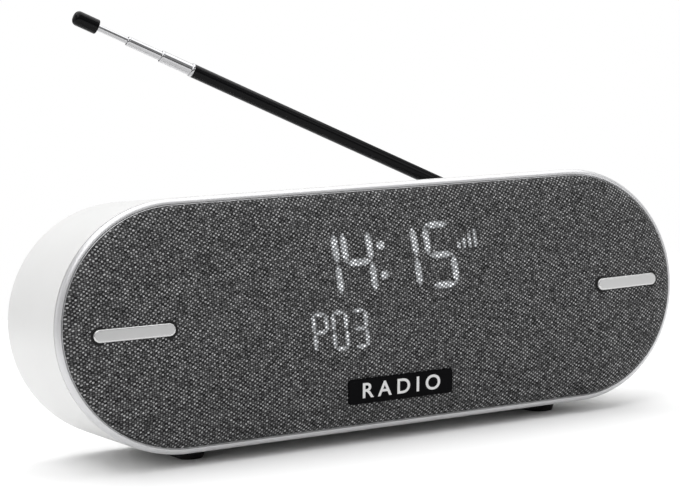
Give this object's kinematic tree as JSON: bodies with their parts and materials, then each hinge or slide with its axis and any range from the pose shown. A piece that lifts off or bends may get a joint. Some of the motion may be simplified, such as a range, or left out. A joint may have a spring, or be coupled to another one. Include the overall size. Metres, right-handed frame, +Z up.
{
  "type": "tabletop radio",
  "caption": "Stadium-shaped tabletop stereo radio with a domed cloth front, silver bezel, flush top push-buttons, rubber feet and a folding telescopic aerial.",
  "frame": {"origin": "on the floor plane, at the middle of the overall box in X and Y", "axes": "+Z up, +X to the right of someone facing the cloth front, -Y out of the cloth front"},
  "size_m": [0.28, 0.0962, 0.1873],
  "materials": {
    "case_white": "smooth white moulded plastic, soft gloss",
    "bezel_silver": "satin silver",
    "trim_silver": "fine satin with bright edge",
    "badge_black": "gloss black with light printing",
    "cloth_grey": "woven dark grey melange acoustic cloth",
    "inner_black": "matte black",
    "smoked_window": "smoked diffuser",
    "display_light": "white lit segments",
    "board_green": "green circuit board",
    "screw_steel": "zinc plated",
    "socket_black": "matte black",
    "foot_rubber": "soft black rubber",
    "button_white": "white with small printed symbols",
    "aerial_black": "semi-gloss black lacquer",
    "aerial_chrome": "bright chrome",
    "magnet_grey": "dull grey",
    "coil_copper": "enamelled copper wire",
    "cone_paper": "pressed paper pulp"
  },
  "bodies": {
    "cabinet": {"housing_shell": "case_white", "rear_cover": "case_white", "bezel_ring": "bezel_silver", "rear_cover_screws": "screw_steel", "foot_left": "foot_rubber", "foot_right": "foot_rubber", "trim_bar_left": "trim_silver", "trim_bar_right": "trim_silver", "badge_plate": "badge_black", "grille_fabric": "cloth_grey", "grille_frame": "inner_black", "display_window": "smoked_window", "display_segments": "display_light", "display_reflector": "inner_black", "display_board": "board_green", "display_screws": "screw_steel", "front_baffle": "inner_black", "baffle_screws": "screw_steel", "speaker_screws": "screw_steel", "main_board": "board_green", "main_board_parts": "inner_black", "tuner_can": "screw_steel", "main_board_screws": "screw_steel", "dc_socket": "socket_black", "aux_socket": "socket_black", "button_board": "board_green", "button_switches": "inner_black", "button_board_screws": "screw_steel", "speaker_frame_left": "inner_black", "speaker_magnet_left": "magnet_grey", "speaker_yoke_left": "magnet_grey", "speaker_coil_left": "coil_copper", "speaker_cone_left": "cone_paper", "speaker_dust_cap_left": "cone_paper", "speaker_surround_left": "foot_rubber", "speaker_frame_right": "inner_black", "speaker_magnet_right": "magnet_grey", "speaker_yoke_right": "magnet_grey", "speaker_coil_right": "coil_copper", "speaker_cone_right": "cone_paper", "speaker_dust_cap_right": "cone_paper", "speaker_surround_right": "foot_rubber"},
    "aerial_swivel": {"aerial_turret": "aerial_black", "aerial_screw": "screw_steel", "aerial_hinge_pin": "aerial_chrome"},
    "aerial_mast": {"aerial_knuckle": "aerial_chrome", "aerial_sleeve": "aerial_black"},
    "aerial_lower": {"aerial_lower_tube": "aerial_chrome"},
    "aerial_upper": {"aerial_upper_tube": "aerial_chrome"},
    "aerial_tip": {"aerial_rod": "aerial_chrome", "aerial_cap": "aerial_black"},
    "button_power": {"button_power": "button_white"},
    "button_mode": {"button_mode": "button_white"},
    "button_preset": {"button_preset": "button_white"},
    "button_menu": {"button_menu": "button_white"},
    "button_previous": {"button_previous": "button_white"},
    "button_next": {"button_next": "button_white"},
    "button_volume_down": {"button_volume_down": "button_white"},
    "button_volume_up": {"button_volume_up": "button_white"}
  },
  "joints": [
    {"name": "power_press", "type": "slide", "parent": "cabinet", "child": "button_power", "axis": [0, 0, -1], "range_m": [0, 0.0008], "stiffness_N_per_m": 1200},
    {"name": "mode_press", "type": "slide", "parent": "cabinet", "child": "button_mode", "axis": [0, 0, -1], "range_m": [0, 0.0008], "stiffness_N_per_m": 1200},
    {"name": "preset_press", "type": "slide", "parent": "cabinet", "child": "button_preset", "axis": [0, 0, -1], "range_m": [0, 0.0008], "stiffness_N_per_m": 1200},
    {"name": "menu_press", "type": "slide", "parent": "cabinet", "child": "button_menu", "axis": [0, 0, -1], "range_m": [0, 0.0008], "stiffness_N_per_m": 1200},
    {"name": "previous_press", "type": "slide", "parent": "cabinet", "child": "button_previous", "axis": [0, 0, -1], "range_m": [0, 0.0008], "stiffness_N_per_m": 1200},
    {"name": "next_press", "type": "slide", "parent": "cabinet", "child": "button_next", "axis": [0, 0, -1], "range_m": [0, 0.0008], "stiffness_N_per_m": 1200},
    {"name": "volume_down_press", "type": "slide", "parent": "cabinet", "child": "button_volume_down", "axis": [0, 0, -1], "range_m": [0, 0.0008], "stiffness_N_per_m": 1200},
    {"name": "volume_up_press", "type": "slide", "parent": "cabinet", "child": "button_volume_up", "axis": [0, 0, -1], "range_m": [0, 0.0008], "stiffness_N_per_m": 1200},
    {"name": "aerial_turn", "type": "hinge", "parent": "cabinet", "child": "aerial_swivel", "pos_m": [0.1027, 0.04489, 0.0874], "axis": [0, 1, 0], "range_deg": [-25.9, 154.1]},
    {"name": "aerial_tilt", "type": "hinge", "parent": "aerial_swivel", "child": "aerial_mast", "pos_m": [0.1027, 0.04489, 0.0874], "axis": [-0.4368, 0, -0.8996], "range_deg": [0, 90]},
    {"name": "lower_slide", "type": "slide", "parent": "aerial_mast", "child": "aerial_lower", "axis": [-0.8996, 0, 0.4368], "range_m": [-0.0145, 0.11]},
    {"name": "upper_slide", "type": "slide", "parent": "aerial_lower", "child": "aerial_upper", "axis": [-0.8996, 0, 0.4368], "range_m": [-0.016, 0.105]},
    {"name": "tip_slide", "type": "slide", "parent": "aerial_upper", "child": "aerial_tip", "axis": [-0.8996, 0, 0.4368], "range_m": [-0.0142, 0.105]}
  ]
}
